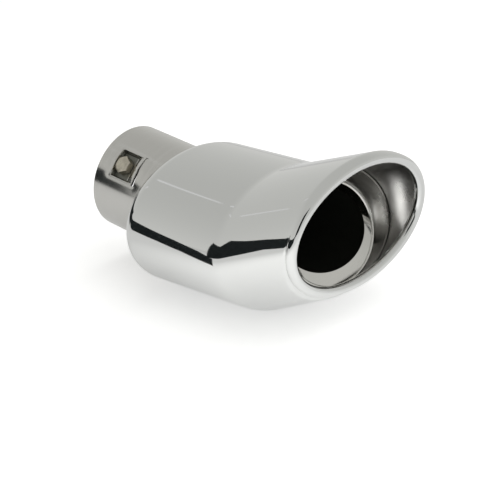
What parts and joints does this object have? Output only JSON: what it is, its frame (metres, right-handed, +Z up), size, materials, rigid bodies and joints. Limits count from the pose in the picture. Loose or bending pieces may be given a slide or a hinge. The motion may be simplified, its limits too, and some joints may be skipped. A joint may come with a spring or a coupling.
{
  "type": "exhaust tip",
  "caption": "Bolt-on exhaust tip with a round clamp sleeve, a polished oval barrel, an upswept oval mouth with a rolled rim and a round-edged inner tube.",
  "frame": {"origin": "bottom centre of the part as it lies on the barrel", "axes": "+X from the inlet sleeve towards the mouth, +Z up, Y across the oval"},
  "size_m": [0.1936, 0.114, 0.0986],
  "materials": {
    "sleeve_steel": "satin stainless sheet",
    "polished_steel": "mirror-polished stainless sheet",
    "tube_steel": "stainless tube with a polished rolled end",
    "carrier_steel": "satin stainless pressing",
    "fastener_zinc": "worn zinc-plated steel"
  },
  "bodies": {
    "root": {"inlet_sleeve": "sleeve_steel", "clamp_bolt": "fastener_zinc", "clamp_nut": "fastener_zinc", "barrel_shell": "polished_steel", "mouth_shell": "polished_steel", "inner_tube": "tube_steel", "tube_carrier": "carrier_steel"}
  },
  "joints": []
}
